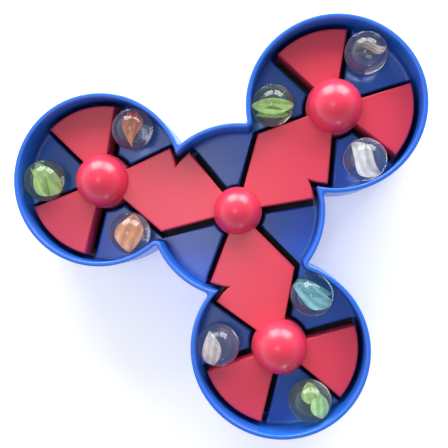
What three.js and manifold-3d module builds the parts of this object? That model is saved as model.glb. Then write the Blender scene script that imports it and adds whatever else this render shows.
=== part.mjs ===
// Marble tilt game: a four-lobed tray with a spring-loaded barrier that rises through its floor.
// Millimetres, +Z up. The origin is the centre lobe's axis at the resting face.
import * as THREE from 'three';
import { mergeVertices } from 'three/addons/utils/BufferGeometryUtils.js';
import Module from 'manifold-3d';

const wasm = await Module();
wasm.setup();

// ---- Driving dimensions -------------------------------------------------------------------
const LOBE_ANGLES = [60, 180, 300];
const LOBE_NAMES = ['right', 'left', 'front'];

// Marbles
const MARBLE_D = 15;
const MARBLE_GAP = 0.2;          // marble to floor, wall and arm
const TRACK_GAP = 2.4;           // extra width of the track between an outer hub's slot and the wall

// Tray
const WALL = 1.6;
const LOBE_LAP = 5.8;            // outer lobe past the middle between two hubs
const CENTRE_LOBE_STEP = 0.4;    // centre lobe's radius is smaller by this
const BOWL_DEPTH = 15.6;         // rim to floor
const FLOOR_T = 2;
const SKIRT_LIFT = 0.4;          // the wall's lower edge stays this far above the resting face
const BEND_R = 2.4;              // inner radius of the wide bend on one side of each neck
const BEND_R_MIN = 0.2;          // the bend's outer faces stay at least this round
const CUSP_ROUND = 1.2;          // outer radius of the sharp cusp on the other side

// Barrier
const ARM_END_GAP = 1.55;        // arm's round end to the centre lobe's wall
const WEDGE_HALF = 28;           // half the angle of a free arm
const WEDGE_TURN = 1.2;          // free arms are turned this far past a third of a circle
const NECK_INSIDE = 28;          // neck arm's angle on the side where two arms meet in a point
const NECK_OUTSIDE = 38;         // neck arm's angle on the notched side
const HUB_STEP = 1.2;            // outer hub's radius is larger than the centre hub's by this
const BARRIER_RISE = 8.1;        // raised barrier above the floor, and its travel
const BARRIER_PLATE = 2;
const BARRIER_WALL = 1.8;
const FLANGE_T = 1.4;
const FLANGE_LAP = 1.3;          // flange under the floor beyond the slot
const FLANGE_RUN = 1.5;          // flange along an arm's edge, past the hub's own part of it

// Slots and clearances
const SLOT = 2;                  // barrier to floor edge
const FLANGE_GAP = 0.3;          // flange to the floor above it
const FIT_GAP = 0.3;             // pieces that seat on or in each other
const RUN_GAP = 0.6;             // pieces that slide past each other
const PRESSED_GAP = 2.3;         // pressed barrier to the base cover

// Knobs
const KNOB_INSET = 0.3;          // hub's edge beyond its knob
const KNOB_STEPS = 10;           // steps from a knob's foot to its top
const STEM_R = 3;

// Base cover, guides and springs
const BASE_T = 2;
const GUIDE_WALL = 1.4;
const STEM_TRAVEL_GAP = 1;       // stem to base cover with the barrier pressed down
const WIRE_D = 0.8;
const SPRING_TURNS = 7;
const SPRING_GAP = 0.4;          // guide to the inside of the coil
const WIRE_SIDES = 5;
const STEPS_PER_TURN = 10;

// Screws
const SCREW_R = 1.4;
const SCREW_TIP = 1.5;
const SCREW_HEAD_R = 2.8;
const SCREW_HEAD_H = 1.5;
const SCREW_HEAD_CHAMFER = 0.5;
const SCREW_LENGTH = 9;
const SCREW_BOSS_WALL = 1.9;
const HEAD_SINK = 0.8;           // screw head above the resting face

// Smoothness
const ARC_STEP = 9;              // degrees between points on an outline
const ROUND_SIDES = 20;
const SMALL_SIDES = 14;
const MARBLE_SIDES = 16;
const MARBLE_RINGS = 12;

// ---- Derived sizes, levels and places -----------------------------------------------------
// A hub's hollow clears its spring, and a marble rolls between the hub's slot and the wall.
const GUIDE_R = STEM_R + RUN_GAP;
const SPRING_R = GUIDE_R + GUIDE_WALL + SPRING_GAP + WIRE_D / 2;
const CENTRE_HUB_R = SPRING_R + WIRE_D / 2 + RUN_GAP + BARRIER_WALL;
const HUB_R = CENTRE_HUB_R + HUB_STEP;
const LOBE_R = HUB_R + SLOT + TRACK_GAP + MARBLE_D + WALL;
const CENTRE_LOBE_R = LOBE_R - CENTRE_LOBE_STEP;
const HUB_PITCH = 2 * (LOBE_R - LOBE_LAP);
const ARM_R = CENTRE_LOBE_R - WALL - ARM_END_GAP;
const MARBLE_R = MARBLE_D / 2;
const MARBLE_REACH = LOBE_R - WALL - MARBLE_R - MARBLE_GAP;

// Levels, from the resting face up.
const BARRIER_FOOT_Z = BASE_T + PRESSED_GAP + BARRIER_RISE;
const FLANGE_TOP_Z = BARRIER_FOOT_Z + FLANGE_T;
const UNDER_FLOOR_Z = FLANGE_TOP_Z + FLANGE_GAP;
const FLOOR_Z = UNDER_FLOOR_Z + FLOOR_T;
const TRAY_HEIGHT = FLOOR_Z + BOWL_DEPTH;
const BARRIER_TOP_Z = FLOOR_Z + BARRIER_RISE;
const PLATE_UNDER_Z = BARRIER_TOP_Z - BARRIER_PLATE;
const STEM_FOOT_Z = BASE_T + STEM_TRAVEL_GAP + BARRIER_RISE;
const GUIDE_TOP_Z = PLATE_UNDER_Z - BARRIER_RISE - FIT_GAP;
const SCREW_SEAT_Z = HEAD_SINK + SCREW_HEAD_H + FIT_GAP;
const BASE_BOSS_Z = SCREW_SEAT_Z + BASE_T;

// Screws stand midway between a hub's flange and the wall.
const FLANGE_REACH = SLOT + FLANGE_LAP;
const OUTER_SCREW_REACH = (HUB_R + FLANGE_REACH + LOBE_R - WALL) / 2;
const INNER_SCREW_REACH = (CENTRE_HUB_R + FLANGE_REACH + CENTRE_LOBE_R - WALL) / 2;
const REACH = 4 * HUB_PITCH;     // larger than the whole object

// Start and end angle of an outer hub's free arms, counted from the line back to the centre.
const WEDGES = [120, 240].map((third) => {
  const middle = third + WEDGE_TURN;
  return [middle - WEDGE_HALF, middle + WEDGE_HALF];
});

const rad = (degrees) => degrees * Math.PI / 180;
const deg = (radians) => radians * 180 / Math.PI;

const hubs = [{ name: 'centre', x: 0, y: 0, r: CENTRE_HUB_R }];
LOBE_ANGLES.forEach((angle, i) => {
  const x = HUB_PITCH * Math.cos(rad(angle));
  const y = HUB_PITCH * Math.sin(rad(angle));
  hubs.push({ name: LOBE_NAMES[i], x, y, angle, r: HUB_R });
});

// ---- Outlines -----------------------------------------------------------------------------
// Points of an arc about (cx, cy), from angle a to b in degrees, ends included.
function arc(cx, cy, r, a, b) {
  const steps = Math.max(1, Math.ceil(Math.abs(b - a) / ARC_STEP));
  const points = [];
  for (let i = 0; i <= steps; i++) {
    const t = rad(a + (b - a) * i / steps);
    points.push([cx + r * Math.cos(t), cy + r * Math.sin(t)]);
  }
  return points;
}

// Turns lobe coordinates, in which the lobe lies along +X, to the part's frame.
function turn(points, angle) {
  const c = Math.cos(rad(angle));
  const s = Math.sin(rad(angle));
  return points.map(([x, y]) => [x * c - y * s, x * s + y * c]);
}

// Where a circle of radius r, outside both lobes, touches a centre lobe and an outer lobe.
function neckRound(lobeR, centreR, r) {
  const a = centreR + r;
  const b = lobeR + r;
  const x = (HUB_PITCH * HUB_PITCH + a * a - b * b) / (2 * HUB_PITCH);
  const y = Math.sqrt(a * a - x * x);
  return { x, y, fromCentre: deg(Math.atan2(y, x)), fromLobe: deg(Math.atan2(y, HUB_PITCH - x)) };
}

// Outline of the four joined lobes, moved outward by grow. One side of each neck is a wide
// bend and the other a cusp.
function trayOutline(grow) {
  const lobeR = LOBE_R + grow;
  const centreR = CENTRE_LOBE_R + grow;
  const cuspR = CUSP_ROUND * Math.max(0, 1 + grow / WALL);
  const cusp = neckRound(lobeR, centreR, cuspR);
  const bendR = Math.max(BEND_R - WALL - grow, BEND_R_MIN);
  const bend = neckRound(lobeR, centreR, bendR);
  const points = [];
  for (const angle of LOBE_ANGLES) {
    const lobe = [];
    if (cuspR > 0) {
      lobe.push(...arc(cusp.x, -cusp.y, cuspR, 180 - cusp.fromCentre, cusp.fromLobe));
    }
    lobe.push(...arc(HUB_PITCH, 0, lobeR, cusp.fromLobe - 180, 180 - bend.fromLobe));
    lobe.push(...arc(bend.x, bend.y, bendR, -bend.fromLobe, bend.fromCentre - 180));
    points.push(...turn(lobe, angle));
    const next = angle + 120;
    points.push(...arc(0, 0, centreR, angle + bend.fromCentre, next - cusp.fromCentre));
  }
  return tidy(points);
}

// Where a straight arm edge, moved outward by grow from the line at an angle, meets radius r.
// side is +1 where outward is towards larger angles.
function edgeAngle(r, angle, grow, side) {
  return angle + side * deg(Math.asin(grow / r));
}

// Outline of the barrier: three arms round each hub, moved outward by grow, and by endGrow at
// the arms' round ends. The arms of neighbouring hubs join at each neck.
function barrierOutline(grow, endGrow = grow) {
  const endR = ARM_R + endGrow;
  const hubR = HUB_R + grow;
  const centreR = CENTRE_HUB_R + grow;
  const notch = deg(Math.acos(HUB_PITCH / 2 / endR));
  const slope = rad(NECK_INSIDE);
  const point = [HUB_PITCH / 2, HUB_PITCH / 2 * Math.tan(slope) + grow / Math.cos(slope)];
  const points = [];
  for (const angle of LOBE_ANGLES) {
    const lobe = [];
    // Centre hub's neck arm, notched side.
    const corner = edgeAngle(centreR, -NECK_OUTSIDE, grow, -1);
    lobe.push(...arc(0, 0, centreR, corner, corner));
    lobe.push(...arc(0, 0, endR, edgeAngle(endR, -NECK_OUTSIDE, grow, -1), -notch));
    // Outer hub's neck arm, notched side. Its angles count from the line back to the centre.
    const around = [];
    around.push(...arc(0, 0, endR, notch, edgeAngle(endR, NECK_OUTSIDE, grow, 1)));
    let from = edgeAngle(hubR, NECK_OUTSIDE, grow, 1);
    for (const [a, b] of WEDGES) {
      around.push(...arc(0, 0, hubR, from, edgeAngle(hubR, a, grow, -1)));
      around.push(...arc(0, 0, endR, edgeAngle(endR, a, grow, -1), edgeAngle(endR, b, grow, 1)));
      from = edgeAngle(hubR, b, grow, 1);
    }
    around.push(...arc(0, 0, hubR, from, edgeAngle(hubR, 360 - NECK_INSIDE, grow, -1)));
    lobe.push(...turn(around, 180).map(([x, y]) => [x + HUB_PITCH, y]));
    lobe.push(point);
    points.push(...turn(lobe, angle));
    const start = edgeAngle(centreR, angle + NECK_INSIDE, grow, 1);
    points.push(...arc(0, 0, centreR, start, edgeAngle(centreR, angle + 120 - NECK_OUTSIDE, grow, -1)));
  }
  return tidy(points);
}

// Drops points that repeat the one before them.
function tidy(points) {
  const same = (p, q) => Math.hypot(p[0] - q[0], p[1] - q[1]) < 1e-4;
  return points.filter((p, i) => !same(p, points[(i + points.length - 1) % points.length]));
}

// ---- Solids -------------------------------------------------------------------------------
function solid(geometry) {
  geometry.deleteAttribute('normal');
  geometry.deleteAttribute('uv');
  const merged = mergeVertices(geometry, 1e-5);
  const mesh = new wasm.Mesh({
    numProp: 3,
    vertProperties: new Float32Array(merged.attributes.position.array),
    triVerts: new Uint32Array(merged.index.array),
  });
  return new wasm.Manifold(mesh);
}

function geometryOf(manifold) {
  const mesh = manifold.getMesh();
  const geometry = new THREE.BufferGeometry();
  geometry.setAttribute('position', new THREE.BufferAttribute(new Float32Array(mesh.vertProperties), 3));
  geometry.setIndex(new THREE.BufferAttribute(new Uint32Array(mesh.triVerts), 1));
  geometry.computeVertexNormals();
  return geometry;
}

function prism(points, bottom, top) {
  const shape = new THREE.Shape(points.map(([x, y]) => new THREE.Vector2(x, y)));
  const geometry = new THREE.ExtrudeGeometry(shape, { depth: top - bottom, bevelEnabled: false });
  geometry.translate(0, 0, bottom);
  return solid(geometry);
}

// Turns a profile of [radius, height] pairs about the vertical axis through (x, y).
function turned(profile, x = 0, y = 0, sides = ROUND_SIDES) {
  const geometry = new THREE.LatheGeometry(profile.map(([r, z]) => new THREE.Vector2(r, z)), sides);
  geometry.rotateX(Math.PI / 2);
  geometry.translate(x, y, 0);
  return solid(geometry);
}

function rod(r, bottom, top, x, y, sides) {
  return turned([[0, bottom], [r, bottom], [r, top], [0, top]], x, y, sides);
}

function tube(inner, outer, bottom, top, x, y) {
  return turned([[inner, bottom], [outer, bottom], [outer, top], [inner, top], [inner, bottom]], x, y);
}

// ---- Screw places -------------------------------------------------------------------------
const screws = LOBE_ANGLES.flatMap((angle, i) => {
  const hub = hubs[i + 1];
  const pocket = angle + 180 + (WEDGES[0][1] + WEDGES[1][0]) / 2;
  const gap = angle + (NECK_INSIDE + 120 - NECK_OUTSIDE) / 2;
  return [
    {
      name: `lobe_screw_${LOBE_NAMES[i]}`,
      x: hub.x + OUTER_SCREW_REACH * Math.cos(rad(pocket)),
      y: hub.y + OUTER_SCREW_REACH * Math.sin(rad(pocket)),
    },
    {
      name: `centre_screw_${i + 1}`,
      x: INNER_SCREW_REACH * Math.cos(rad(gap)),
      y: INNER_SCREW_REACH * Math.sin(rad(gap)),
    },
  ];
});

// ---- Pieces -------------------------------------------------------------------------------
function makeTray() {
  const wall = prism(trayOutline(0), SKIRT_LIFT, TRAY_HEIGHT).subtract(prism(trayOutline(-WALL), 0, REACH));
  const openings = prism(barrierOutline(SLOT, WALL + SLOT), 0, REACH);
  const floor = prism(trayOutline(-WALL / 2), UNDER_FLOOR_Z, FLOOR_Z).subtract(openings);
  let tray = wall.add(floor);
  const holeR = SCREW_R + FIT_GAP;
  for (const screw of screws) {
    const root = UNDER_FLOOR_Z + FLOOR_T / 2;
    const boss = rod(holeR + SCREW_BOSS_WALL, BASE_BOSS_Z + FIT_GAP, root, screw.x, screw.y, SMALL_SIDES);
    tray = tray.add(boss);
  }
  for (const screw of screws) {
    const top = SCREW_SEAT_Z + SCREW_LENGTH + FIT_GAP;
    tray = tray.subtract(rod(holeR, 0, top, screw.x, screw.y, SMALL_SIDES));
  }
  return tray;
}

function makeBaseCover() {
  let base = prism(trayOutline(-WALL - FIT_GAP), 0, BASE_T);
  for (const screw of screws) {
    const bossR = SCREW_HEAD_R + FIT_GAP + BASE_T / 2;
    base = base.add(rod(bossR, BASE_T / 2, BASE_BOSS_Z, screw.x, screw.y, SMALL_SIDES));
  }
  for (const screw of screws) {
    base = base.subtract(rod(SCREW_HEAD_R + FIT_GAP, -1, SCREW_SEAT_Z, screw.x, screw.y, SMALL_SIDES));
    base = base.subtract(rod(SCREW_R + FIT_GAP, 0, REACH, screw.x, screw.y, SMALL_SIDES));
  }
  for (const hub of hubs) {
    base = base.add(tube(GUIDE_R, GUIDE_R + GUIDE_WALL, BASE_T / 2, GUIDE_TOP_Z, hub.x, hub.y));
  }
  return base;
}

function makeBarrier() {
  const shell = prism(barrierOutline(0), BARRIER_FOOT_Z, BARRIER_TOP_Z);
  const hollow = prism(barrierOutline(-BARRIER_WALL), BARRIER_FOOT_Z - 1, PLATE_UNDER_Z);
  const flange = prism(barrierOutline(FLANGE_REACH), BARRIER_FOOT_Z, FLANGE_TOP_Z);
  let barrier = shell;
  for (const hub of hubs) {
    const disc = rod(hub.r + FLANGE_REACH + FLANGE_RUN, 0, TRAY_HEIGHT, hub.x, hub.y);
    barrier = barrier.add(flange.intersect(disc));
  }
  barrier = barrier.subtract(hollow);
  for (const hub of hubs) {
    barrier = barrier.subtract(rod(STEM_R + FIT_GAP, 0, TRAY_HEIGHT, hub.x, hub.y));
  }
  return barrier;
}

// Domed knob whose stem runs down through the barrier into the guide on the base cover.
function makeKnob(hub) {
  const foot = BARRIER_TOP_Z + FIT_GAP;
  const knobR = hub.r - KNOB_INSET;
  const dome = new THREE.EllipseCurve(0, foot, knobR, knobR, 0, Math.PI / 2);
  const points = dome.getPoints(KNOB_STEPS).map((p) => [p.x, p.y]);
  points[points.length - 1][0] = 0;
  const stem = [[0, STEM_FOOT_Z], [STEM_R, STEM_FOOT_Z], [STEM_R, foot]];
  return turned([...stem, ...points], hub.x, hub.y);
}

// Compression spring between the base cover and the underside of the barrier.
class Helix extends THREE.Curve {
  constructor(radius, bottom, top, turns) {
    super();
    Object.assign(this, { radius, bottom, top, turns });
  }

  getPoint(t, target = new THREE.Vector3()) {
    const a = 2 * Math.PI * this.turns * t;
    const z = this.bottom + (this.top - this.bottom) * t;
    return target.set(this.radius * Math.cos(a), this.radius * Math.sin(a), z);
  }
}

function makeSpring(hub) {
  const wire = WIRE_D / 2;
  const bottom = BASE_T + FIT_GAP + wire;
  const path = new Helix(SPRING_R, bottom, PLATE_UNDER_Z - FIT_GAP - wire, SPRING_TURNS);
  const section = new THREE.Shape();
  for (let i = 0; i < WIRE_SIDES; i++) {
    const t = 2 * Math.PI * i / WIRE_SIDES;
    const move = i === 0 ? 'moveTo' : 'lineTo';
    section[move](wire * Math.cos(t), wire * Math.sin(t));
  }
  const geometry = new THREE.ExtrudeGeometry(section, {
    steps: SPRING_TURNS * STEPS_PER_TURN,
    extrudePath: path,
    bevelEnabled: false,
  });
  geometry.translate(hub.x, hub.y, 0);
  return solid(geometry);
}

// Self-tapping screw, head down.
function makeScrew(screw) {
  const seat = HEAD_SINK + SCREW_HEAD_H;
  const end = seat + SCREW_LENGTH;
  const head = [
    [0, HEAD_SINK],
    [SCREW_HEAD_R - SCREW_HEAD_CHAMFER, HEAD_SINK],
    [SCREW_HEAD_R, HEAD_SINK + SCREW_HEAD_CHAMFER],
    [SCREW_HEAD_R, seat],
  ];
  const shank = [[SCREW_R, seat], [SCREW_R, end - SCREW_TIP], [0, end]];
  return turned([...head, ...shank], screw.x, screw.y, SMALL_SIDES);
}

function makeMarble() {
  return new THREE.SphereGeometry(MARBLE_R, MARBLE_SIDES, MARBLE_RINGS);
}

// ---- Marble places: each lies against the wall and against the arm after its pocket ---------
const beside = deg(Math.asin((MARBLE_R + MARBLE_GAP) / MARBLE_REACH));
const pocketEnds = [WEDGES[0][0], WEDGES[1][0], 360 - NECK_INSIDE];
const marbles = hubs.slice(1).flatMap((hub) => pocketEnds.map((end, i) => {
  const t = rad(hub.angle + 180 + end - beside);
  return {
    name: `marble_${hub.name}_${i + 1}`,
    x: hub.x + MARBLE_REACH * Math.cos(t),
    y: hub.y + MARBLE_REACH * Math.sin(t),
    z: FLOOR_Z + MARBLE_R + MARBLE_GAP,
  };
}));

// ---- Assembly -----------------------------------------------------------------------------
const finishes = {
  blue: { color: 0x2f55b8, roughness: 0.3, metalness: 0 },
  black: { color: 0x1d1e25, roughness: 0.5, metalness: 0 },
  red: { color: 0xe85265, roughness: 0.35, metalness: 0 },
  knob: { color: 0xe8405c, roughness: 0.22, metalness: 0 },
  steel: { color: 0xb9bcc0, roughness: 0.3, metalness: 1 },
  glass: { color: 0xcfe0d8, roughness: 0.05, metalness: 0 },
};

const assembly = new THREE.Group();
assembly.name = 'marble_tilt_game';

function place(name, geometry, finish, parent = assembly) {
  const mesh = new THREE.Mesh(geometry, new THREE.MeshStandardMaterial(finishes[finish]));
  mesh.name = name;
  parent.add(mesh);
  return mesh;
}

place('tray', geometryOf(makeTray()), 'blue');
place('base_cover', geometryOf(makeBaseCover()), 'black');
place('barrier', geometryOf(makeBarrier()), 'red');
for (const hub of hubs) {
  place(`knob_${hub.name}`, geometryOf(makeKnob(hub)), 'knob');
  place(`spring_${hub.name}`, geometryOf(makeSpring(hub)), 'steel');
}
for (const screw of screws) {
  place(screw.name, geometryOf(makeScrew(screw)), 'steel');
}
for (const marble of marbles) {
  place(marble.name, makeMarble(), 'glass').position.set(marble.x, marble.y, marble.z);
}

assembly.updateMatrixWorld(true);
export default assembly;
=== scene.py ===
# %% [markdown]
# # Marble tilt game
# A four-lobed blue tray holds nine glass marbles. A red barrier rises through slots in the tray's
# floor and parts each lobe into three pockets; domed knobs stand on its hubs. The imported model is
# the fixed frame: it gives every place and every moving body, and this notebook makes the surfaces.

# %% Load the frame
import math

import bpy
import numpy as np
from mathutils import Matrix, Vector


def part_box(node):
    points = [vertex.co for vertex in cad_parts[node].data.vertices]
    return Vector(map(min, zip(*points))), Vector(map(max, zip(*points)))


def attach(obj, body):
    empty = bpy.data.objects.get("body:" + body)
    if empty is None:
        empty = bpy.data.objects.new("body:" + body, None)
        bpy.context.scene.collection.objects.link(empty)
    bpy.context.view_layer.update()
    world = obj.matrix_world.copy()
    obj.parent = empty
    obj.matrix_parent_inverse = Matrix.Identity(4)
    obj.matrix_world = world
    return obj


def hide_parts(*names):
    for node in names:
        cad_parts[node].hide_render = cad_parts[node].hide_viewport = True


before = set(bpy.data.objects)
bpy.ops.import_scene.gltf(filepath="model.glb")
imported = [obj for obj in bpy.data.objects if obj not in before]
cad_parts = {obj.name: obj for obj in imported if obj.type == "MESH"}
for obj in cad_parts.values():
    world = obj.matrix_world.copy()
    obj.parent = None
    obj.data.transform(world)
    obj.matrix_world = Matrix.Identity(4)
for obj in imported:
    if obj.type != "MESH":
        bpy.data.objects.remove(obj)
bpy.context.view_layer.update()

# %% [markdown]
# ## Camera
# The view is from almost straight above, so the rim shows its inner walls all round. It is part of
# a wider view, cropped to the object, so the lens is shifted; a lens without a shift would have to
# look in from the side. Aiming at a point with a roll is easier to read than three angles.

# %% Camera
CAMERA_AT = np.array([0.01474, -0.00327, 0.30452])
CAMERA_TARGET = np.array([-0.01782, -0.00668, 0.0317])
CAMERA_ROLL = math.radians(12.84)
CAMERA_LENS = 63.46
CAMERA_SHIFT = (0.0938, -0.0134)
SENSOR_WIDTH = 36.0
CLIP_START = 0.01


def camera_axes(at, target, roll):
    """Right, up and backward unit vectors: backward points from target to camera, and up is the
    horizontal direction turned by roll from +Y, made square to backward."""
    back = (at - target) / np.linalg.norm(at - target)
    right = np.cross([-math.sin(roll), math.cos(roll), 0.0], back)
    right /= np.linalg.norm(right)
    return right, np.cross(back, right), back


def place_object(obj, axes, at):
    """Stands a camera or a light at a point, with its X, Y and Z axes along three vectors."""
    pose = np.eye(4)
    pose[:3, :3] = np.column_stack(axes)
    pose[:3, 3] = at
    obj.matrix_world = Matrix(pose.tolist())
    bpy.context.scene.collection.objects.link(obj)


camera_data = bpy.data.cameras.new("camera")
camera_data.lens = CAMERA_LENS
camera_data.sensor_width = SENSOR_WIDTH
camera_data.shift_x, camera_data.shift_y = CAMERA_SHIFT
camera_data.clip_start = CLIP_START
camera = bpy.data.objects.new("camera", camera_data)
place_object(camera, camera_axes(CAMERA_AT, CAMERA_TARGET, CAMERA_ROLL), CAMERA_AT)
bpy.context.scene.camera = camera
bpy.context.scene.view_settings.view_transform = "Standard"
print("camera", round(float(np.linalg.norm(CAMERA_AT - CAMERA_TARGET)) * 1000), "mm from the rim")

# %% [markdown]
# ## Sizes
# The frame gives the places of the hubs, the marbles and the levels, so a piece drawn from them
# stays with its body if the model changes. Everything is worked out in millimetres.

# %% Sizes taken from the frame
MM = 0.001


def box_mm(node):
    """Lowest and highest corner of a CAD node, in millimetres."""
    low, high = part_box(node)
    return np.array(low) / MM, np.array(high) / MM


tray_low, tray_high = box_mm("tray")
barrier_low, barrier_high = box_mm("barrier")
LOBES = ("right", "left", "front")
HUBS = {name: sum(box_mm(f"knob_{name}"))[:2] / 2 for name in ("centre",) + LOBES}
PITCH = float(np.mean([np.hypot(*(HUBS[name] - HUBS["centre"])) for name in LOBES]))
LOBE_ANGLE = {name: math.atan2(*(HUBS[name] - HUBS["centre"])[::-1]) for name in LOBES}
RIM_Z = tray_high[2]
SKIRT_Z = tray_low[2]
BARRIER_TOP = barrier_high[2]
BARRIER_FOOT = barrier_low[2]
print(f"hub pitch {PITCH:.2f}, rim {RIM_Z:.2f}, barrier {BARRIER_FOOT:.2f} to {BARRIER_TOP:.2f} mm")

# %% [markdown]
# What the frame doesn't hold as a box, such as a wall or the radius of an arm's end, is named here.
# But for LOBE_R and HUB_SLOT they are the imported model's own values, so what is drawn lies where the
# imported solids are. Angles at a hub are in degrees, from the line that joins it to the centre hub.

# %% Sizes of the mouldings
LOBE_R = 30.73       # a little inside the frame, whose arcs have flat facets
CENTRE_LOBE_R = 30.4
WALL = 1.6
BOWL_DEPTH = 15.6    # from the rim down to the floor
FLOOR_T = 2.0
BEND_R = 2.4         # inner face of the wall, on the wide side of a neck
CUSP_R = 1.2         # outer face of the wall, on the sharp side of a neck
CUSP_LEAST = 0.12
ARM_R = 27.25        # reach of an arm from its hub
WEDGE_HALF = 28.0    # half the spread of an outer hub's two free arms
WEDGE_TURN = 1.2     # they stand this much off even thirds
NECK_INSIDE = 28.0   # spread of the arm through a neck, on its pointed side
NECK_OUTSIDE = 38.0  # and on its notched side
HUB_R = 9.8
CENTRE_HUB_R = 8.6
BARRIER_PLATE = 2.0
BARRIER_WALL = 1.8
SLOT = 2.0           # gap between the floor and an arm
HUB_SLOT = 0.9       # gap between the floor and a hub, where the rounded floor reaches further in
FLOOR_Z = RIM_Z - BOWL_DEPTH
UNDER_FLOOR_Z = FLOOR_Z - FLOOR_T
WEDGES = [(third + WEDGE_TURN - WEDGE_HALF, third + WEDGE_TURN + WEDGE_HALF) for third in (120, 240)]
print(f"floor {UNDER_FLOOR_Z:.2f} to {FLOOR_Z:.2f} mm, free arms at", WEDGES, "degrees")

# %% [markdown]
# ## Helpers
# An object is made from whole arrays of points and faces, which is quicker than adding them one by
# one. Curved skins are shaded smooth; a flat cap is one many-sided face, and is shaded flat so that
# its light doesn't bend at its corners.


# %% Mesh object
def make_object(name, vertices, faces, sharp=40.0):
    """A mesh object from arrays in millimetres, smooth but for edges sharper than an angle."""
    mesh = bpy.data.meshes.new(name)
    mesh.from_pydata((np.asarray(vertices) * MM).tolist(), [], faces)
    mesh.validate()
    corners = np.zeros(len(mesh.polygons), dtype=np.int32)
    mesh.polygons.foreach_get("loop_total", corners)
    mesh.polygons.foreach_set("use_smooth", corners <= 4)
    mesh.set_sharp_from_angle(angle=math.radians(sharp))
    obj = bpy.data.objects.new(name, mesh)
    bpy.context.scene.collection.objects.link(obj)
    print(f"{name}: {len(mesh.vertices)} points, {len(mesh.polygons)} faces")
    return obj


# %% [markdown]
# Every new piece is a set of rings: one closed outline drawn at several offsets and heights, all
# with the same number of points, so that neighbouring rings join point to point into a skin. The
# skin is closed in one of three ways: by flat caps, by joining its last ring to its first, or by a
# fan of triangles at each pole.


# %% Skins from rings
def ring_faces(rows, points, first=0):
    """Quads between rows of rings, each ring closed on itself."""
    i = np.arange(rows - 1)[:, None] * points + first
    j = np.arange(points)[None, :]
    k = (j + 1) % points
    return np.stack([i + j, i + k, i + points + k, i + points + j], axis=-1).reshape(-1, 4)


def shell(rings, first=0):
    """Vertices and faces of a closed skin: rings joined in turn, with a flat cap at each end. The
    faces count their points from first."""
    rings = np.asarray(rings)
    rows, points = rings.shape[:2]
    faces = ring_faces(rows, points, first).tolist()
    faces.append((first + np.arange(points)[::-1]).tolist())
    faces.append((first + (rows - 1) * points + np.arange(points)).tolist())
    return rings.reshape(-1, 3), faces


def loop_skin(rings):
    """Vertices and faces of a ring-shaped skin: the last ring joins the first."""
    rings = np.asarray(rings)
    rows, points = rings.shape[:2]
    faces = ring_faces(rows + 1, points) % (rows * points)
    return rings.reshape(-1, 3), faces.tolist()


def closed_rows(rows, start, end):
    """Rows of rings joined in turn and closed by a fan to one point at each end."""
    count, sides = rows.shape[:2]
    vertices = np.concatenate([[start], rows.reshape(-1, 3), [end]])
    around = np.arange(sides)
    after = (around + 1) % sides
    low = np.stack([np.zeros(sides, int), 1 + after, 1 + around], axis=-1)
    last = 1 + (count - 1) * sides
    high = np.stack([np.full(sides, count * sides + 1), last + around, last + after], axis=-1)
    return vertices, ring_faces(count, sides, 1).tolist() + low.tolist() + high.tolist()


def revolved(profile, sides):
    """Skin of a profile turned about the vertical axis: radius and height of each point, the
    first and last of them on the axis, where the skin closes in a fan."""
    profile = np.asarray(profile, float)
    turn = np.arange(sides) * 2 * math.pi / sides
    body = profile[1:-1]
    x = body[:, :1] * np.cos(turn)
    y = body[:, :1] * np.sin(turn)
    z = np.repeat(body[:, 1:], sides, axis=1)
    return closed_rows(np.stack([x, y, z], axis=-1), [0, 0, profile[0, 1]], [0, 0, profile[-1, 1]])


def at_height(outline, z):
    """A plan outline lifted to a height, which may differ from point to point."""
    return np.column_stack([outline, np.broadcast_to(z, len(outline))])


# %% [markdown]
# Seen from above, both mouldings are drawn with arcs and straight lines. The sides of an arm and of
# its slot run parallel, so an offset edge isn't a radial line any more, and the angle at which it
# meets an arc depends on the arc's radius. At a neck, a small circle touches both lobes.


# %% Plan curves
def arc(centre, r, start, end, count):
    """Points at radius r about a centre, from start to end in degrees."""
    t = np.radians(np.linspace(start, end, count))
    return np.asarray(centre) + r * np.column_stack([np.cos(t), np.sin(t)])


def line(start, end, shares):
    """Points that divide a straight line in the given shares of its length."""
    start, end = np.asarray(start, float), np.asarray(end, float)
    return start + np.asarray(shares)[:, None] * (end - start)


def turned(points, angle):
    """Plan points turned about the origin by an angle in radians."""
    c, s = math.cos(angle), math.sin(angle)
    return points @ np.array([[c, s], [-s, c]])


def edge_angle(r, angle, grow, side):
    """Where a straight edge, moved off its radial line by grow, crosses radius r, in degrees."""
    return angle + side * math.degrees(math.asin(grow / r))


def neck_round(lobe_r, centre_r, r):
    """Centre of a circle of radius r that touches a centre lobe and an outer lobe from outside,
    and the angles of its touching points seen from each."""
    a, b = centre_r + r, lobe_r + r
    x = (PITCH**2 + a**2 - b**2) / (2 * PITCH)
    y = math.sqrt(a**2 - x**2)
    return np.array([x, y]), math.degrees(math.atan2(y, x)), math.degrees(math.atan2(y, PITCH - x))


def quarter(count=7):
    """Sine and cosine of angles from 0 to 90 degrees, for the points of a rounded edge."""
    t = np.linspace(0, math.pi / 2, count)
    return np.sin(t), np.cos(t)


# %% [markdown]
# ## Tray
# The tray is moulded in one piece: a thin wall round four joined lobes, a rounded rim, and a floor
# cut through where the barrier comes up. It could be cut out with booleans, but then no edge would
# be rounded and none would catch light. Here the wall is one profile carried round the outline, and
# each pocket's floor is a plate whose rings round down at the slots and sweep up at the wall.

# %% Tray outline
LOBE_POINTS = 120
CENTRE_POINTS = 28
ROUND_POINTS = 10


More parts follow.
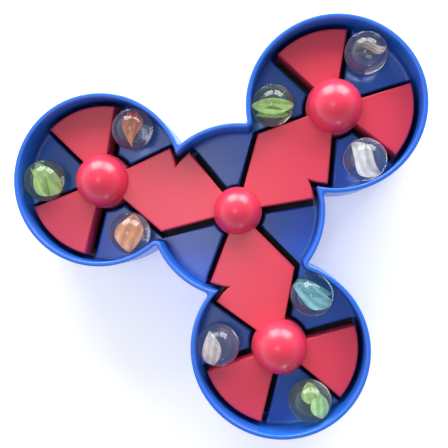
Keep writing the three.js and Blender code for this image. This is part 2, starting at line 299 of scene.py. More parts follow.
def tray_outline(grow):
    """The joined lobes' outline moved outward by grow. At each neck one side is a cusp, sharp
    inside the wall, and the other a wide bend whose radius shrinks as the outline grows."""
    lobe_r, centre_r = LOBE_R + grow, CENTRE_LOBE_R + grow
    cusp_r = max(CUSP_R * (1 + grow / WALL), CUSP_LEAST)
    bend_r = BEND_R - WALL - grow
    cusp, cusp_in, cusp_out = neck_round(lobe_r, centre_r, cusp_r)
    bend, bend_in, bend_out = neck_round(lobe_r, centre_r, bend_r)
    parts = []
    for angle in LOBE_ANGLE.values():
        lobe = np.concatenate([
            arc(cusp * [1, -1], cusp_r, 180 - cusp_in, cusp_out, ROUND_POINTS),
            arc((PITCH, 0), lobe_r, cusp_out - 180, 180 - bend_out, LOBE_POINTS)[1:-1],
            arc(bend, bend_r, -bend_out, bend_in - 180, ROUND_POINTS),
        ])
        middle = arc((0, 0), centre_r, bend_in, 120 - cusp_in, CENTRE_POINTS)[1:-1]
        parts += [turned(lobe, angle), turned(middle, angle)]
    return np.concatenate(parts)


print(f"tray outline: {len(tray_outline(0))} points, {np.ptp(tray_outline(0), axis=0).round(1)} mm")

# %% [markdown]
# The wall's section is drawn once, as insets from the outer face with their heights. The rim has a
# rounded edge on both sides, which gives it its two lines of light. A ledge inside the wall, just
# above the base cover, closes the sight through the ends of the slots.

# %% Tray wall
RIM_EDGE = 0.6
FOOT_EDGE = 0.3
LEDGE_LOW = 2.3
LEDGE_HIGH = 3.3
LEDGE_REACH = 1.2


def wall_profile():
    """Inset from the outer face and height of each point round the wall's section: up the outer
    face, over two rounded rim edges, down the inner face, round the ledge and round the foot."""
    s, c = quarter()
    outer_rim = np.column_stack([RIM_EDGE * (1 - c), RIM_Z - RIM_EDGE * (1 - s)])
    inner_rim = np.column_stack([WALL - RIM_EDGE * (1 - c), RIM_Z - RIM_EDGE * (1 - s)])[::-1]
    ledge_in = WALL + LEDGE_REACH
    ledge = [[WALL, LEDGE_HIGH], [ledge_in, LEDGE_HIGH], [ledge_in, LEDGE_LOW], [WALL, LEDGE_LOW]]
    foot = [[WALL, SKIRT_Z], [FOOT_EDGE, SKIRT_Z], [0, SKIRT_Z + FOOT_EDGE]]
    return np.concatenate([outer_rim, inner_rim, ledge, foot])


def wall_skin():
    """The outline moved inward by each inset of the section and lifted to its height."""
    return loop_skin([at_height(tray_outline(-inset), z) for inset, z in wall_profile()])


print(f"wall section: {len(wall_profile())} points")

# %% [markdown]
# Each pocket's floor is one plate. Its outline is a hub's slot, two straight slots and a stretch of
# wall; where a neck is open, the centre pocket and the outer pocket share one plate. A weight says
# which points lie on the wall: there a ring rises into a small fillet, elsewhere it rounds down.

# %% Outline of a lobe's own pocket
SLOT_EDGE = 0.8      # radius of the floor's edge along a slot
WALL_FILLET = 1.1    # radius where the floor meets the wall
TUCK = 0.8           # the plates reach this far into the wall
EDGE_STOPS = np.array([0.0, 0.5, 0.9])
SLOT_POINTS = 16
WALL_POINTS = 48


def lobe_pocket(slot_in, wall_in, start, end):
    """Outline and wall weight of a pocket between two arms of an outer hub, about that hub, drawn
    inward by slot_in along the slots and by wall_in along the wall."""
    grow = SLOT + slot_in
    hub_r, wall_r = HUB_R + HUB_SLOT + slot_in, LOBE_R - WALL + TUCK - wall_in
    a, b = edge_angle(wall_r, start, grow, 1), edge_angle(wall_r, end, grow, -1)
    hub_a, hub_b = edge_angle(hub_r, start, grow, 1), edge_angle(hub_r, end, grow, -1)
    hub = arc((0, 0), hub_r, hub_b, hub_a, SLOT_POINTS)
    wall = arc((0, 0), wall_r, a, b, WALL_POINTS)
    out = line(hub[-1], wall[0], EDGE_STOPS)[1:]
    back = line(hub[0], wall[-1], EDGE_STOPS)[:0:-1]
    weight = np.concatenate([np.zeros(len(hub) + len(out)), np.ones(len(wall)), np.zeros(len(back))])
    return np.concatenate([hub, out, wall, back]), weight


LOBE_POCKETS = [(NECK_OUTSIDE, WEDGES[0][0]), (WEDGES[0][1], WEDGES[1][0])]
print("a lobe's own pockets, degrees about its hub:", LOBE_POCKETS)

# %% [markdown]
# The shared plate runs from an outer hub through the neck to the centre hub. In the neck it is only
# a narrow strip between the slot's point and the wall's bend. There the rounded edge and the fillet
# have to shrink, or the rings on both sides of the strip would cross and leave dark folds.

# %% Outline of a shared pocket
NECK_LEAST = 0.3     # edge and fillet in the narrow strip
BEND_POINTS = 12


def neck_pocket(slot_in, wall_in):
    """Outline and wall weight of a centre pocket joined to an outer pocket through the neck's open
    side, with the outer hub on the +X axis. In the strip, the bend's radius and the slot's offset
    grow by NECK_LEAST at most; the limit on the bend fades to its ends with a half sine wave."""
    grow = SLOT + slot_in
    wall_grow = TUCK - WALL - wall_in
    hub_r, centre_hub_r = np.array([HUB_R, CENTRE_HUB_R]) + HUB_SLOT + slot_in
    lobe_r, centre_r = LOBE_R + wall_grow, CENTRE_LOBE_R + wall_grow
    bend_r = BEND_R - WALL - wall_grow
    bend, bend_in, bend_out = neck_round(lobe_r, centre_r, bend_r)
    swing = np.radians(np.linspace(-bend_out, bend_in - 180, BEND_POINTS + 2))[1:-1]
    nearest = np.sin(np.linspace(0, math.pi, BEND_POINTS + 2))[1:-1]
    swing_r = bend_r - nearest * max(bend_r - BEND_R - NECK_LEAST, 0)
    slope = math.radians(NECK_INSIDE)
    corner = min(grow, SLOT + NECK_LEAST) / math.cos(slope)
    point = np.array([[PITCH / 2, PITCH / 2 * math.tan(slope) + corner]])
    wedge = WEDGES[1][1] - 180
    hub = arc((PITCH, 0), hub_r, edge_angle(hub_r, 180 - NECK_INSIDE, grow, -1),
              edge_angle(hub_r, wedge, grow, 1), SLOT_POINTS)
    last_arm = 120 - NECK_OUTSIDE
    centre_hub = arc((0, 0), centre_hub_r, edge_angle(centre_hub_r, last_arm, grow, -1),
                     edge_angle(centre_hub_r, NECK_INSIDE, grow, 1), SLOT_POINTS)
    wall = np.concatenate([
        arc((PITCH, 0), lobe_r, edge_angle(lobe_r, wedge, grow, 1), 180 - bend_out, WALL_POINTS),
        bend + swing_r[:, None] * np.column_stack([np.cos(swing), np.sin(swing)]),
        arc((0, 0), centre_r, bend_in, edge_angle(centre_r, last_arm, grow, -1), WALL_POINTS),
    ])
    out = line(hub[-1], wall[0], EDGE_STOPS)[1:]
    back = line(centre_hub[0], wall[-1], EDGE_STOPS)[:0:-1]
    outline = np.concatenate([point, hub, out, wall, back, centre_hub])
    weight = np.zeros(len(outline))
    start = 1 + len(hub) + len(out)
    weight[start:start + len(wall)] = 1
    return outline, weight


print(f"shared pocket: {len(neck_pocket(0, 0)[0])} points")

# %% [markdown]
# A plate's rings climb its side, turn over its edge and end on the flat. One more ring just inside
# the edge keeps the flat's shading from bending. At an outer hub the pockets are drawn about that
# hub with the centre at 0 degrees, so they are turned by half a turn and moved there.

# %% Tray
FLAT_RING = 0.15


def floor_rings(pocket, *arms):
    """Rings of one plate, from its underside up its side, over its edge and onto the flat. Along a
    slot and along the wall a ring has its own inset and height, and the weight picks between them."""
    s, c = quarter()
    steps = [(0, UNDER_FLOOR_Z, 0, UNDER_FLOOR_Z), (0, FLOOR_Z - SLOT_EDGE, 0, FLOOR_Z + WALL_FILLET)]
    for sine, cosine in zip(s, c):
        steps.append((SLOT_EDGE * (1 - cosine), FLOOR_Z - SLOT_EDGE * (1 - sine),
                      TUCK + WALL_FILLET * (1 - cosine), FLOOR_Z + WALL_FILLET * (1 - sine)))
    steps.append((SLOT_EDGE + FLAT_RING, FLOOR_Z, TUCK + WALL_FILLET + FLAT_RING, FLOOR_Z))
    rings = []
    for slot_in, slot_z, wall_in, wall_z in steps:
        outline, weight = pocket(slot_in, wall_in, *arms)
        rings.append(at_height(outline, slot_z + weight * (wall_z - slot_z)))
    return np.array(rings)


def placed(rings, angle, shift=(0.0, 0.0)):
    """Rings turned in plan by an angle and moved."""
    rings = np.array(rings)
    flat = turned(rings[..., :2].reshape(-1, 2), angle) + shift
    rings[..., :2] = flat.reshape(rings.shape[:-1] + (2,))
    return rings


def floor_plates():
    """Rings of all nine plates: two of each outer lobe's own and one shared with the centre."""
    plates = []
    for name, angle in LOBE_ANGLE.items():
        for start, end in LOBE_POCKETS:
            rings = floor_rings(lobe_pocket, start, end)
            plates.append(placed(rings, angle + math.pi, HUBS[name]))
        plates.append(placed(floor_rings(neck_pocket), angle))
    return plates


def tray_skin():
    """The wall's skin and the plates' skins in one list of vertices and one of faces."""
    points, faces = wall_skin()
    skins, count = [points], len(points)
    for plate in floor_plates():
        points, plate_faces = shell(plate, count)
        skins.append(points)
        faces += plate_faces
        count += len(points)
    return np.concatenate(skins), faces


tray = make_object("tray_moulding", *tray_skin())

# %% [markdown]
# ## Barrier
# The barrier is a second moulding: three arms round each hub, joined through the necks. Its outline
# is one curve, so it is a single stack of rings from the hollow underside, round the foot and up to
# the flat top. The small flanges that hold it in lie unseen below the floor, and aren't drawn.

# %% Barrier
BARRIER_EDGE = 0.6
ARM_POINTS = 40      # along the end of a free arm
NOTCH_POINTS = 16    # along the end of an arm in a neck
HUB_POINTS = 14      # round a hub, between two arms


def barrier_outline(grow):
    """The arms' outline moved outward by grow. Straight edges run parallel to radial lines; facing
    arms of two hubs meet at a notch and at a point."""
    end_r = ARM_R + grow
    hub_r, centre_r = HUB_R + grow, CENTRE_HUB_R + grow
    notch = math.degrees(math.acos(PITCH / 2 / end_r))
    slope = math.radians(NECK_INSIDE)
    point = np.array([[PITCH / 2, PITCH / 2 * math.tan(slope) + grow / math.cos(slope)]])
    start = edge_angle(hub_r, NECK_OUTSIDE, grow, 1)
    around = [arc((0, 0), end_r, notch, edge_angle(end_r, NECK_OUTSIDE, grow, 1), NOTCH_POINTS)[1:]]
    for a, b in WEDGES:
        around.append(arc((0, 0), hub_r, start, edge_angle(hub_r, a, grow, -1), HUB_POINTS))
        around.append(arc((0, 0), end_r, edge_angle(end_r, a, grow, -1),
                          edge_angle(end_r, b, grow, 1), ARM_POINTS))
        start = edge_angle(hub_r, b, grow, 1)
    last_edge = edge_angle(hub_r, 360 - NECK_INSIDE, grow, -1)
    around.append(arc((0, 0), hub_r, start, last_edge, HUB_POINTS))
    outer = turned(np.concatenate(around), math.pi) + (PITCH, 0)
    inner_arm = arc((0, 0), end_r, edge_angle(end_r, -NECK_OUTSIDE, grow, -1), -notch, NOTCH_POINTS)
    next_arm = 120 - NECK_OUTSIDE
    hub = arc((0, 0), centre_r, edge_angle(centre_r, NECK_INSIDE, grow, 1),
              edge_angle(centre_r, next_arm, grow, -1), HUB_POINTS)
    third = np.concatenate([inner_arm, outer, point, hub])
    return np.concatenate([turned(third, angle) for angle in LOBE_ANGLE.values()])


def barrier_skin():
    """One stack of rings, from the hollow underside round the foot and up to the flat top."""
    under = BARRIER_TOP - BARRIER_PLATE
    s, c = quarter()
    steps = [(-BARRIER_WALL, under), (-BARRIER_WALL, BARRIER_FOOT), (0, BARRIER_FOOT)]
    for sine, cosine in zip(s, c):
        steps.append((-BARRIER_EDGE * (1 - cosine), BARRIER_TOP - BARRIER_EDGE * (1 - sine)))
    steps.append((-BARRIER_EDGE - FLAT_RING, BARRIER_TOP))
    return shell([at_height(barrier_outline(grow), z) for grow, z in steps])


barrier = make_object("barrier_moulding", *barrier_skin())

# %% [markdown]
# ## Knobs
# Each hub carries a glossy dome, half a ball, with a stem that runs down inside the barrier. It is
# a profile turned about the hub's axis, with a small round at the dome's foot.

# %% Knobs
KNOB_GAP = 0.3
KNOB_EDGE = 0.4
STEM_R = 3.0
STEM_EDGE = 0.3
DOME_POINTS = 40
TURNED_SIDES = 96


def make_knob(name):
    """Stem, foot and dome: the dome is a quarter circle from its foot's rounded edge to the top."""
    low, high = box_mm(f"knob_{name}")
    radius = (high[0] - low[0]) / 2
    foot_z = BARRIER_TOP + KNOB_GAP
    t = np.linspace(math.asin(KNOB_EDGE / radius), math.pi / 2, DOME_POINTS)
    dome = np.column_stack([radius * np.cos(t), high[2] - radius + radius * np.sin(t)])
    dome[-1, 0] = 0
    s, c = quarter(5)
    edge = np.column_stack([radius - KNOB_EDGE * c[::-1], foot_z + KNOB_EDGE * (1 - s[::-1])])[:-1]
    stem = [[0, low[2]], [STEM_R - STEM_EDGE, low[2]], [STEM_R, low[2] + STEM_EDGE], [STEM_R, foot_z]]
    vertices, faces = revolved(np.concatenate([stem, edge, dome]), TURNED_SIDES)
    vertices[:, :2] += HUBS[name]
    return make_object(f"dome_{name}", vertices, faces, sharp=50)


domes = {name: make_knob(name) for name in HUBS}

# %% [markdown]
# ## Marbles
# Each marble is clear soda-lime glass with a vane of coloured glass inside, which the ball magnifies.
# The ball is a turned circle; the vane is a closed leaf, wide in the middle and thin, with a bend
# and a twist, laid across the marble as it happened to roll. No two are alike, so each leaf has its
# own row: its lengths are shares of the marble's radius, its angles are in degrees.

# %% Marble vanes
TINTS = {"rust": "#B4483A", "amber": "#F2A276", "peach": "#FFB48C", "leaf": "#CBEBA0",
         "olive": "#8CA858", "mint": "#C9F4C0", "milk": "#FFFFFF", "rose": "#F0DCDA",
         "smoke": "#6E666C", "teal": "#6FBCCB", "ice": "#B8ECF4"}
VANES = {
    # marble: leaves of (first tint, last tint, half length, half width, thickness, pointed end,
    #   bow, bend, fold, twist, plan angle, tilt, shift right, shift up)
    "marble_left_1": [
        ("amber", "rust", 0.66, 0.36, 0.08, 1.7, 0.03, 0.05, 0.16, 10, 100, 12, 0.0, 0.04)],
    "marble_left_2": [
        ("leaf", "leaf", 0.66, 0.50, 0.07, 0.8, 0.14, 0.00, 0.22, 25, 146, 8, 0.14, 0.08),
        ("olive", "leaf", 0.60, 0.18, 0.06, 1.0, -0.10, 0.0, 0.10, 60, 138, -10, -0.14, -0.12)],
    "marble_left_3": [
        ("peach", "amber", 0.64, 0.50, 0.10, 0.9, 0.02, 0.03, 0.28, 0, 96, -6, 0.02, 0.0)],
    "marble_right_1": [
        ("milk", "milk", 0.76, 0.38, 0.08, 1.0, 0.16, 0.12, 0.24, 20, 148, 5, 0.06, 0.04)],
    "marble_right_2": [
        ("smoke", "rose", 0.60, 0.18, 0.03, 1.0, 0.12, 0.16, 0.10, 70, 24, 20, 0.16, 0.10),
        ("smoke", "smoke", 0.70, 0.05, 0.02, 1.0, 0.04, 0.03, 0.02, 0, 198, 0, -0.05, 0.02)],
    "marble_right_3": [
        ("leaf", "leaf", 0.80, 0.27, 0.07, 1.0, 0.06, 0.0, 0.18, 0, 193, 2, 0.0, 0.02),
        ("olive", "olive", 0.60, 0.20, 0.04, 1.0, -0.14, 0.0, 0.10, 30, 193, 0, 0.0, -0.36)],
    "marble_front_1": [
        ("rose", "milk", 0.60, 0.32, 0.06, 0.8, -0.06, 0.0, 0.20, 20, 106, 10, -0.28, -0.12)],
    "marble_front_2": [
        ("leaf", "leaf", 0.46, 0.32, 0.07, 0.9, 0.04, 0.0, 0.16, 10, 120, 8, 0.06, 0.26),
        ("mint", "mint", 0.44, 0.32, 0.08, 0.8, 0.0, 0.0, 0.14, -10, 118, -8, 0.32, -0.14)],
    "marble_front_3": [
        ("ice", "ice", 0.78, 0.36, 0.08, 0.9, 0.06, 0.06, 0.24, 10, 168, 4, 0.0, 0.04),
        ("teal", "teal", 0.70, 0.24, 0.05, 1.0, 0.12, 0.0, 0.10, 30, 170, -4, 0.04, 0.30)],
}
print(len(VANES), "marbles with", sum(len(leaves) for leaves in VANES.values()), "leaves")

# %% [markdown]
# A real vane is a ribbon of soft glass that was folded and drawn out before the ball was rounded.
# It could be a flat strip with a modifier, but a closed skin on a grid can thin out to its ends and
# edges as glass does, and its folds catch the light through the ball.

# %% Vane surface
LEAF_ROWS = 60
LEAF_SIDES = 48
FOLD_CURVE = 1.3
RIPPLE = 0.03
RIPPLES_ACROSS = 9
RIPPLES_ALONG = 7


def spun(lift, turn):
    """Matrix for row vectors: a tilt about Y, then a turn in plan."""
    c, s = math.cos(lift), math.sin(lift)
    rise = np.array([[c, 0, s], [0, 1, 0], [-s, 0, c]])
    c, s = math.cos(turn), math.sin(turn)
    return rise @ np.array([[c, s, 0], [-s, c, 0], [0, 0, 1]])


def make_vane(radius, length, width, thickness, point, bow, bend, fold, twist, plan, tilt, right, up):
    """Leaf along X: with t from 0 to 1 along it, half-width and half-thickness follow
    sin(pi t**point); the middle shifts sideways by bow sin(pi t) + bend sin(2 pi t); both halves
    fold up from the middle line by fold times a power of the share of the width, rippled; the
    section turns by twist along the leaf. Returns the skin, and t and the share at each point."""
    along = np.linspace(0, 1, LEAF_ROWS + 2)[1:-1][:, None]
    around = np.arange(LEAF_SIDES) * 2 * math.pi / LEAF_SIDES
    swell = np.sin(math.pi * along**point)
    across = swell * np.cos(around)
    ripple = RIPPLE * np.sin(RIPPLES_ACROSS * across + RIPPLES_ALONG * along) * swell
    lift = fold * np.abs(across) ** FOLD_CURVE + ripple
    a = radius * width * across
    b = radius * (thickness * np.sqrt(swell) * np.sin(around) + lift)
    angle = np.radians(twist) * (along - 0.5)
    half = radius * length
    side = radius * (bow * np.sin(math.pi * along) + bend * np.sin(2 * math.pi * along))
    x = np.broadcast_to(half * (2 * along - 1), a.shape)
    y = a * np.cos(angle) - b * np.sin(angle) + side
    z = a * np.sin(angle) + b * np.cos(angle) - radius * fold / 2
    ends = [-half, 0, -radius * fold / 2], [half, 0, -radius * fold / 2]
    vertices, faces = closed_rows(np.stack([x, y, z], axis=-1), *ends)
    shift = radius * turned(np.array([[right, up]]), CAMERA_ROLL)[0]
    vertices = vertices @ spun(math.radians(tilt), math.radians(plan)) + [*shift, 0]
    t = np.concatenate([[0], np.repeat(along[:, 0], LEAF_SIDES), [1]])
    share = np.concatenate([[0], across.ravel(), [0]])
    return vertices, faces, t, share


# %% [markdown]
# The ribbon's colour changes along it and runs in fine streaks, drawn out with the glass. Colour
# that follows a surface is kept on the surface's own points, so it stays put when a marble rolls.
# Blender mixes linear light, so hex colours are turned to linear first, here and everywhere below.


# %% Vane tint
STREAKS_ACROSS = 9
STREAKS_ALONG = 5
STREAK_LEVEL, STREAK_DEPTH, EDGE_GAIN = 0.80, 0.16, 0.12


def linear(hex_colour):
    """Linear red, green, blue and alpha of an sRGB hex colour, by the sRGB curve."""
    value = np.array([int(hex_colour[i:i + 2], 16) for i in (1, 3, 5)]) / 255
    value = np.where(value <= 0.04045, value / 12.92, ((value + 0.055) / 1.055) ** 2.4)
    return (*value.tolist(), 1.0)


def tint_vane(vane, first, last, t, share):
    """Point colours: from the first tint to the last by a smooth step along the leaf, times a level
    that waves across and along it and grows towards one edge."""
    blend = (t * t * (3 - 2 * t))[:, None]
    colour = np.array(linear(TINTS[first])) * (1 - blend) + np.array(linear(TINTS[last])) * blend
    wave = np.sin(STREAKS_ACROSS * share + STREAKS_ALONG * t)
    streak = STREAK_LEVEL + STREAK_DEPTH * wave + EDGE_GAIN * share
    colour[:, :3] = np.clip(colour[:, :3] * streak[:, None], 0, 1)
    layer = vane.data.attributes.new("tint", "FLOAT_COLOR", "POINT")
    layer.data.foreach_set("color", colour.astype(np.float32).ravel())


print("leaf green, linear:", [round(value, 3) for value in linear(TINTS["leaf"])])

# %% [markdown]
# Ball and leaves are made about the marble's middle and then moved there. A leaf that would come
# out of the glass is shrunk to stay inside it.

# %% Marbles
BALL_POINTS = 65
VANE_REACH = 0.96    # share of the ball's radius that a leaf may fill


def make_marble(node):
    """The ball, a half circle turned about its axis, and its leaves."""
    low, high = box_mm(node)
    radius = (high[2] - low[2]) / 2
    middle = (low + high) / 2
    t = np.linspace(-math.pi / 2, math.pi / 2, BALL_POINTS)
    profile = np.column_stack([radius * np.cos(t), radius * np.sin(t)])
    profile[[0, -1], 0] = 0
    vertices, faces = revolved(profile, TURNED_SIDES)
    ball = make_object(f"glass_{node}", vertices + middle, faces)
    leaves = []
    for number, (first, last, *shape) in enumerate(VANES[node], 1):
        vertices, faces, along, share = make_vane(radius, *shape)
        reach = np.linalg.norm(vertices, axis=1).max() / radius
        if reach > VANE_REACH:
            vertices *= VANE_REACH / reach
        vane = make_object(f"vane_{node}_{number}", vertices + middle, faces)
        tint_vane(vane, first, last, along, share)
        leaves.append(vane)
    return ball, leaves


marbles = {node: make_marble(node) for node in VANES}

# %% [markdown]
# ## Materials
# Every finish is one Principled shader with a few nodes in front of it. The numbers that are the
# same all over a surface are set on the shader itself; only what varies is linked.


# %% Material helpers
def node(tree, kind, settings=None, links=None, **properties):
    """Adds a node, sets its properties and its sockets' values, and links its inputs. A socket is
    given by name, or by number where two share a name."""
    made = tree.nodes.new(kind)
    for name, value in properties.items():
        setattr(made, name, value)
    for socket, value in (settings or {}).items():
        made.inputs[socket].default_value = value
    for socket, source in (links or {}).items():
        tree.links.new(source, made.inputs[socket])
    return made


def material(name, settings):
    """A node material with one Principled shader and its sockets set."""
    made = bpy.data.materials.new(name)
    made.use_nodes = True
    tree = made.node_tree
    tree.nodes.clear()
    shader = node(tree, "ShaderNodeBsdfPrincipled", settings)
    node(tree, "ShaderNodeOutputMaterial", links={"Surface": shader.outputs["BSDF"]})
    return made, tree, shader


# %% [markdown]
# The mouldings are styrene, injected into polished moulds: even, strong colours and a smooth skin
# with soft but clear highlights. The colour could be one flat value, but a real moulding varies
# faintly where the melt flowed, and its skin has a very fine texture that breaks up a highlight.

# %% Moulded styrene
STYRENE_IOR = 1.59
FLOW_MM = 40         # size of the slow changes in colour
SKIN_DEPTH_MM = 0.05
MIX_A, MIX_B, MIX_RESULT = 6, 7, 2     # colour sockets of the Mix node


def moulded(name, colour, deep, roughness, grain_mm):
    """Injection-moulded styrene: flow noise mixes two near colours, grain noise raises the skin."""
    made, tree, shader = material(name, {"Roughness": roughness, "IOR": STYRENE_IOR})
    place = node(tree, "ShaderNodeTexCoord")
    flow = node(tree, "ShaderNodeTexNoise", {"Scale": 1 / (FLOW_MM * MM), "Detail": 2.0},
                {"Vector": place.outputs["Object"]})
    mixed = node(tree, "ShaderNodeMix", {MIX_A: linear(deep), MIX_B: linear(colour)},
                 {"Factor": flow.outputs["Fac"]}, data_type="RGBA")
    tree.links.new(mixed.outputs[MIX_RESULT], shader.inputs["Base Color"])
    grain = node(tree, "ShaderNodeTexNoise", {"Scale": 1 / (grain_mm * MM), "Detail": 3.0},
                 {"Vector": place.outputs["Object"]})
    bump = node(tree, "ShaderNodeBump", {"Strength": 0.05, "Distance": SKIN_DEPTH_MM * MM},
                {"Height": grain.outputs["Fac"]})
    tree.links.new(bump.outputs["Normal"], shader.inputs["Normal"])
    return made


blue = moulded("moulded_styrene_blue", "#2872E4", "#2468DA", 0.25, 0.6)
red = moulded("moulded_styrene_red", "#EF405A", "#E73954", 0.31, 0.6)
knob_red = moulded("polished_styrene_red", "#EC3C59", "#E63654", 0.27, 0.6)
# The black of the base cover is painted shade: it stands for the dark seen down through the slots.
slot_shade_black = moulded("painted_shade_black_styrene", "#15161C", "#101116", 0.5, 0.8)
print("mouldings:", blue.name, red.name, knob_red.name, slot_shade_black.name)

# %% [markdown]
# The marbles are clear or faintly tinted soda-lime glass, pressed and rolled round. Seeds and cords
# in it show as a faint waviness of the skin and a slight haze, without which the balls would look
# like drops of water.

# %% Glass of the balls
SODA_LIME_IOR = 1.52
HAZE = 0.05          # share of the light that scratches and seeds in the ball scatter
CORD_MM = 5
CORD_DEPTH_MM = 0.4
GLASS_TINTS = {"clear": "#DCDEDF", "green": "#C8D8BC", "aqua": "#B0D2DA"}
GLASS_OF = {"marble_left_2": "green", "marble_right_3": "green", "marble_front_2": "green",
            "marble_front_3": "aqua"}


def soda_lime(name, tint):
    """Clear glass with a very low, slow waviness of its skin."""
    made, tree, shader = material(f"pressed_soda_lime_{name}", {
        "Base Color": linear(tint), "Roughness": 0.0, "IOR": SODA_LIME_IOR,
        "Transmission Weight": 1 - HAZE})
    place = node(tree, "ShaderNodeTexCoord")
    cords = node(tree, "ShaderNodeTexNoise", {"Scale": 1 / (CORD_MM * MM), "Detail": 1.0},
                 {"Vector": place.outputs["Object"]})
    bump = node(tree, "ShaderNodeBump", {"Strength": 0.012, "Distance": CORD_DEPTH_MM * MM},
                {"Height": cords.outputs["Fac"]})
    tree.links.new(bump.outputs["Normal"], shader.inputs["Normal"])
    return made


glass = {name: soda_lime(name, tint) for name, tint in GLASS_TINTS.items()}
print("glasses:", [made.name for made in glass.values()])

# %% [markdown]
# The vanes are streaked opal glass: their colour is stored on the leaf's points and mottled by
# noise. Light that the ball would focus on a vane is slow to find by tracing paths, so the vane
# glows a little in its own colour instead.

# %% Glass of the vanes
OPAL_IOR = 1.5
VANE_GLOW = 0.52     # stands for the light that a clear ball gathers on what is inside it
MOTTLE_MM = 1.6
MOTTLE_DEPTH_MM = 0.2
MOTTLE_DARKEST = 0.72


def opal():
    """Opal glass: the leaf's stored tint, darkened in patches, as colour and as glow."""
    made, tree, shader = material("streaked_opal_glass", {
        "Roughness": 0.35, "IOR": OPAL_IOR, "Emission Strength": VANE_GLOW})
    tint = node(tree, "ShaderNodeAttribute", attribute_name="tint")
    place = node(tree, "ShaderNodeTexCoord")
    mottle = node(tree, "ShaderNodeTexNoise", {"Scale": 1 / (MOTTLE_MM * MM), "Detail": 4.0},
                  {"Vector": place.outputs["Object"]})
    level = node(tree, "ShaderNodeMapRange", {
        "From Min": 0.3, "From Max": 0.7, "To Min": MOTTLE_DARKEST, "To Max": 1.0},
        {"Value": mottle.outputs["Fac"]})
    colour = node(tree, "ShaderNodeVectorMath", links={
        "Vector": tint.outputs["Color"], "Scale": level.outputs["Result"]}, operation="SCALE")
    tree.links.new(colour.outputs["Vector"], shader.inputs["Base Color"])
    tree.links.new(colour.outputs["Vector"], shader.inputs["Emission Color"])
    bump = node(tree, "ShaderNodeBump", {"Strength": 0.25, "Distance": MOTTLE_DEPTH_MM * MM},
                {"Height": mottle.outputs["Fac"]})
    tree.links.new(bump.outputs["Normal"], shader.inputs["Normal"])
    return made


opal_glass = opal()
print("vanes:", opal_glass.name)

# %% [markdown]
# The springs and screws are drawn steel with a bath of zinc: bright grey metal whose sheen clouds
# a little from place to place, so only the roughness varies.

# %% Plated steel
PLATING_MM = 1.5


def plated_steel():
    """Zinc-plated steel: a bright metal with cloudy roughness."""
    made, tree, shader = material("zinc_plated_steel", {
        "Base Color": linear("#B8BABD"), "Metallic": 1.0})
    place = node(tree, "ShaderNodeTexCoord")
    cloud = node(tree, "ShaderNodeTexNoise", {"Scale": 1 / (PLATING_MM * MM), "Detail": 3.0},
                 {"Vector": place.outputs["Object"]})
    sheen = node(tree, "ShaderNodeMapRange", {"To Min": 0.22, "To Max": 0.42},
                 {"Value": cloud.outputs["Fac"]})
    tree.links.new(sheen.outputs["Result"], shader.inputs["Roughness"])
    return made


steel = plated_steel()
print("springs and screws:", steel.name)

# %% [markdown]
# ## Bodies and finishes
# Each new piece rides a moving body of the model and hides the part it stands for. A marble's
# leaves ride with its ball. The cover, the springs and the screws are shown as the model has them,
# so they only get a finish.

# %% Give each piece its body and material
# The base cover takes the black of painted shade, for the dark down through the slots.
CAD_FINISH = {"base_cover": slot_shade_black, "spring": steel, "lobe_screw": steel, "centre_screw": steel}


def paint(obj, finish):
    """One material for the whole piece."""
    obj.data.materials.clear()
    obj.data.materials.append(finish)


def dress(obj, finish, body, slot, *nodes):
    """Finish and moving body of a new piece, and the CAD nodes that it replaces; slot is not used."""
    paint(obj, finish)
    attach(obj, body)
    if nodes:
        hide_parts(*nodes)


dress(tray, blue, "tray", "tray_blue", "tray")
dress(barrier, red, "barrier", "barrier_red", "barrier")
for name, dome in domes.items():
    dress(dome, knob_red, "barrier", "knob_red", f"knob_{name}")
for name, (ball, leaves) in marbles.items():
    dress(ball, glass[GLASS_OF.get(name, "clear")], name, "marble_glass", name)
    for vane in leaves:
        dress(vane, opal_glass, name, "marble_glass")
for start, finish in CAD_FINISH.items():
    kept = [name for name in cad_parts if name.startswith(start)]
    for name in kept:
        paint(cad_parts[name], finish)
    print(start, "as modelled:", len(kept))

# %% [markdown]
# ## Stage and light
# A plain white table of lit opal acrylic, as used for product views, keeps the shadows faint. Its
# sheet is matt, and its roughness varies a little, as a sanded sheet's does.

# %% Table
TABLE_HALF = 3.0
TABLE_GLOW = 0.36
SANDED_MM = 0.8


def opal_acrylic():
    """A lit table of opal acrylic: a matt white sheet that also glows evenly."""
    made, tree, shader = material("opal_acrylic_sheet", {
        "Base Color": linear("#FAFAFA"), "Roughness": 0.6, "Emission Color": linear("#FFFFFF"),
        "Emission Strength": TABLE_GLOW})
    place = node(tree, "ShaderNodeTexCoord")
    grain = node(tree, "ShaderNodeTexNoise", {"Scale": 1 / (SANDED_MM * MM), "Detail": 2.0},
                 {"Vector": place.outputs["Object"]})
    rough = node(tree, "ShaderNodeMapRange", {"To Min": 0.5, "To Max": 0.7},
                 {"Value": grain.outputs["Fac"]})
    tree.links.new(rough.outputs["Result"], shader.inputs["Roughness"])
    return made


def make_table():
    """A square sheet in the plane z = 0."""
    corners = TABLE_HALF * np.array([[-1, -1, 0], [1, -1, 0], [1, 1, 0], [-1, 1, 0]])
    mesh = bpy.data.meshes.new("table")
    mesh.from_pydata(corners.tolist(), [], [(0, 1, 2, 3)])
    made = bpy.data.objects.new("table", mesh)
    bpy.context.scene.collection.objects.link(made)
    paint(made, opal_acrylic())
    return made


table = make_table()
print("table:", 2 * TABLE_HALF, "m square")

# %% [markdown]
# Two square windows stand low behind the top of the view and give each dome its pair of soft
# highlights; a small soft panel overhead gives the pale sheen near the middle, and a faint lamp
# opposite the windows lifts the near walls. They could be sun lamps, but only a light with a size
# shows as a shape in a glossy dome.

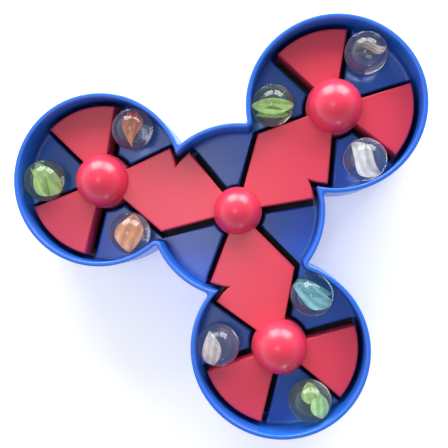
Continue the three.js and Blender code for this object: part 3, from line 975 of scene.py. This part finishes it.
# %% Lights
LIGHT_DISTANCE = 1.0
LIGHTS = {
    # name: direction in the view and elevation in degrees, width and height in metres, watts
    "window_left": (108, 20, 0.62, 0.62, 9.4),
    "window_right": (63, 19, 0.62, 0.62, 9.4),
    "ceiling": (176, 82, 0.26, 0.17, 0.66),
    "far_lamp": (-75, 6, 0.12, 0.12, 0.5),
}


def area_light(name, direction, elevation, width, height, power):
    """A rectangular light that faces the object from a direction in the view, where 0 is the
    view's right and 90 its top, and from a height above the table."""
    plan = math.radians(direction) + CAMERA_ROLL
    lift = math.radians(elevation)
    back = np.array([math.cos(lift) * math.cos(plan), math.cos(lift) * math.sin(plan), math.sin(lift)])
    side = np.array([-math.sin(plan), math.cos(plan), 0.0])
    data = bpy.data.lights.new(name, "AREA")
    data.shape = "RECTANGLE"
    data.size = width
    data.size_y = height
    data.energy = power
    lamp = bpy.data.objects.new(name, data)
    place_object(lamp, (side, np.cross(back, side), back), back * LIGHT_DISTANCE)
    print(f"{name}: {power} W")


for name, setting in LIGHTS.items():
    area_light(name, *setting)

# %% [markdown]
# The room fills in the rest. It is brightest low down, where its walls reflect in the sides of the
# domes and the rim, and on one side, as in a room with its windows on that side. The height on a
# unit ball stands for each direction, so the change from wall to ceiling is a plain range.

# %% Room
ROOM_WHITE = "#F2F4F8"
ROOM_LOW = 1.25      # strength towards the floor and the foot of the walls
ROOM_HIGH = 0.38     # and towards the ceiling
WALL_TO, CEILING_FROM = 0.25, 0.75
BRIGHT_SIDE = math.radians(150) + CAMERA_ROLL
LEAN_LEAST, LEAN_MOST = 0.55, 1.45


def make_room():
    """World light: strength falls with height, times a factor that grows towards one side."""
    made = bpy.data.worlds.new("room")
    made.use_nodes = True
    tree = made.node_tree
    tree.nodes.clear()
    direction = node(tree, "ShaderNodeTexCoord")
    height = node(tree, "ShaderNodeSeparateXYZ", links={"Vector": direction.outputs["Generated"]})
    shade = node(tree, "ShaderNodeMapRange", {
        "From Min": WALL_TO, "From Max": CEILING_FROM, "To Min": ROOM_LOW, "To Max": ROOM_HIGH},
        {"Value": height.outputs["Z"]})
    side = (math.cos(BRIGHT_SIDE), math.sin(BRIGHT_SIDE), 0.0)
    facing = node(tree, "ShaderNodeVectorMath", {1: side}, {0: direction.outputs["Generated"]},
                  operation="DOT_PRODUCT")
    lean = node(tree, "ShaderNodeMapRange", {
        "From Min": -1.0, "From Max": 1.0, "To Min": LEAN_LEAST, "To Max": LEAN_MOST},
        {"Value": facing.outputs["Value"]})
    strength = node(tree, "ShaderNodeMath", links={
        0: shade.outputs["Result"], 1: lean.outputs["Result"]}, operation="MULTIPLY")
    sky = node(tree, "ShaderNodeBackground", {"Color": linear(ROOM_WHITE)},
               {"Strength": strength.outputs["Value"]})
    node(tree, "ShaderNodeOutputWorld", links={"Surface": sky.outputs["Background"]})
    return made


bpy.context.scene.world = make_room()
print("room:", ROOM_LOW, "low,", ROOM_HIGH, "high")
